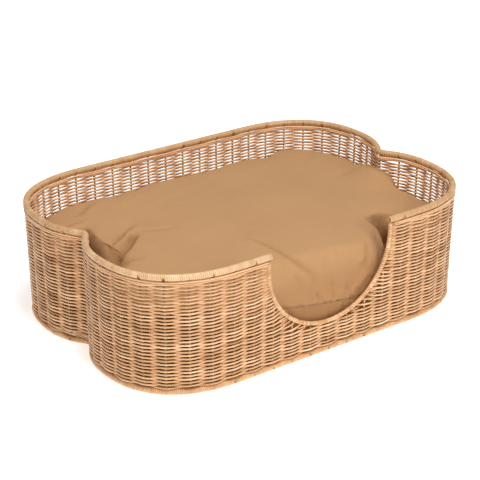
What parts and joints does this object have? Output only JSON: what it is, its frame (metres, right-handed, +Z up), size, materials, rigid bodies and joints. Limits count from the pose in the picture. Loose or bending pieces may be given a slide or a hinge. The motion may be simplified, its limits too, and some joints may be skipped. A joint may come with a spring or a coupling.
{
  "type": "wicker pet bed basket",
  "caption": "Bone-shaped wicker pet bed with a low rounded entrance in the front wall, a bound rim and a loose padded cushion that lifts out.",
  "frame": {"origin": "middle of the footprint on the floor, under the foot border", "axes": "+X along the long side to the right as the front is faced, +Y from the entrance to the rear wall, +Z up"},
  "size_m": [0.8126, 0.5792, 0.2441],
  "materials": {
    "pale_cane": "split cane, satin",
    "dark_cane": "split cane, satin",
    "rattan_pole": "peeled rattan",
    "stake_rod": "peeled rattan rod",
    "woven_reed": "round reed, woven over and under",
    "base_weave": "flat reed mat",
    "filling": "loose fibre filling",
    "cushion_cloth": "plain woven cotton, matt"
  },
  "bodies": {
    "basket": {"base_mat": "base_weave", "entrance_binding": "pale_cane", "entrance_hoop": "rattan_pole", "foot_binding": "dark_cane", "foot_hoop": "rattan_pole", "rim_binding": "pale_cane", "rim_pole": "rattan_pole", "stake_end_to_end_front_1": "stake_rod", "stake_end_to_end_front_2": "stake_rod", "stake_end_to_end_front_3": "stake_rod", "stake_end_to_end_front_4": "stake_rod", "stake_end_to_end_front_5": "stake_rod", "stake_end_to_end_middle": "stake_rod", "stake_end_to_end_rear_1": "stake_rod", "stake_end_to_end_rear_2": "stake_rod", "stake_end_to_end_rear_3": "stake_rod", "stake_end_to_end_rear_4": "stake_rod", "stake_end_to_end_rear_5": "stake_rod", "stake_front_rear_left_1": "stake_rod", "stake_front_rear_left_2": "stake_rod", "stake_front_rear_left_3": "stake_rod", "stake_front_rear_left_4": "stake_rod", "stake_front_rear_left_5": "stake_rod", "stake_front_rear_left_6": "stake_rod", "stake_front_rear_left_7": "stake_rod", "stake_front_rear_left_8": "stake_rod", "stake_front_rear_middle": "stake_rod", "stake_front_rear_right_1": "stake_rod", "stake_front_rear_right_2": "stake_rod", "stake_front_rear_right_3": "stake_rod", "stake_front_rear_right_4": "stake_rod", "stake_front_rear_right_5": "stake_rod", "stake_front_rear_right_6": "stake_rod", "stake_front_rear_right_7": "stake_rod", "stake_front_rear_right_8": "stake_rod", "top_wale_inner": "woven_reed", "top_wale_outer": "woven_reed", "wall_weave_lower": "woven_reed", "wall_weave_upper": "woven_reed"},
    "cushion": {"cushion_base_panel": "cushion_cloth", "cushion_filling": "filling", "cushion_top_panel": "cushion_cloth"}
  },
  "joints": [
    {"name": "cushion_lift", "type": "slide", "parent": "basket", "child": "cushion", "axis": [0, 0, 1], "range_m": [0, 0.35]}
  ]
}
